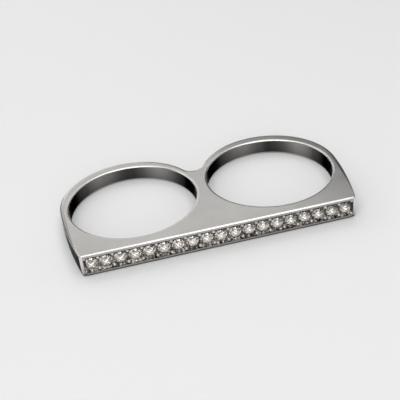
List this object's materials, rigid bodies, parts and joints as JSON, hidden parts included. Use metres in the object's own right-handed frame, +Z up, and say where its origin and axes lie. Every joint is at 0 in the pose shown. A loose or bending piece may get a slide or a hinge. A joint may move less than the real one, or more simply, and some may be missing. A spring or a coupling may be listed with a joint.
{
  "type": "two-finger ring with a row of stones",
  "caption": "Flat two-finger ring: two joined bands side by side and a straight front bar channel-set with a row of round brilliant-cut stones.",
  "frame": {"origin": "on the supporting surface, under the middle of the plate's bounding box, with the ring lying flat on its side", "axes": "+X along the front bar, +Y from the stone row towards the backs of the bands, +Z up along the fingers' direction"},
  "size_m": [0.0384, 0.0206, 0.0032],
  "materials": {
    "metal": "satin faces with polished edges",
    "stone": "faceted and polished"
  },
  "bodies": {
    "root": {"frame": "metal", "stone_01": "stone", "stone_02": "stone", "stone_03": "stone", "stone_04": "stone", "stone_05": "stone", "stone_06": "stone", "stone_07": "stone", "stone_08": "stone", "stone_09": "stone", "stone_10": "stone", "stone_11": "stone", "stone_12": "stone", "stone_13": "stone", "stone_14": "stone", "stone_15": "stone", "stone_16": "stone", "stone_17": "stone", "stone_18": "stone", "stone_19": "stone"}
  },
  "joints": []
}
